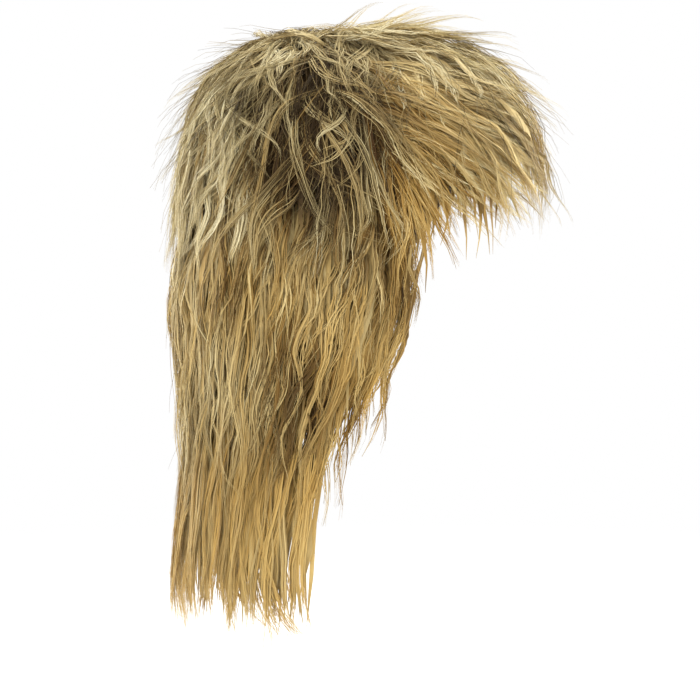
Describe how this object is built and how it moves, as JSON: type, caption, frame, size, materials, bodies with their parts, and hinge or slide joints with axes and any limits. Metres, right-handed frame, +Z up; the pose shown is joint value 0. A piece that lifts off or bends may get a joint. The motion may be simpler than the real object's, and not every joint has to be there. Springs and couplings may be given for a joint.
{
  "type": "costume wig",
  "caption": "Shaggy layered costume wig in its worn form: a thin hollow cap with a forward fringe, a teased crown, side locks and long wavy back hair.",
  "frame": {"origin": "inside top of the cap, where the crown of the wearer's head bears", "axes": "+Z up, the face looks along -Y, +X towards the wearer's left"},
  "size_m": [0.2695, 0.355, 0.5251],
  "materials": {
    "cap": "dark woven wefting net",
    "hair": "straw blonde synthetic hair with dark roots"
  },
  "bodies": {
    "root": {"wig_cap": "cap", "fringe": "hair", "crown_hair": "hair", "side_hair_left": "hair", "side_hair_right": "hair", "back_hair": "hair", "nape_hair": "hair"}
  },
  "joints": []
}
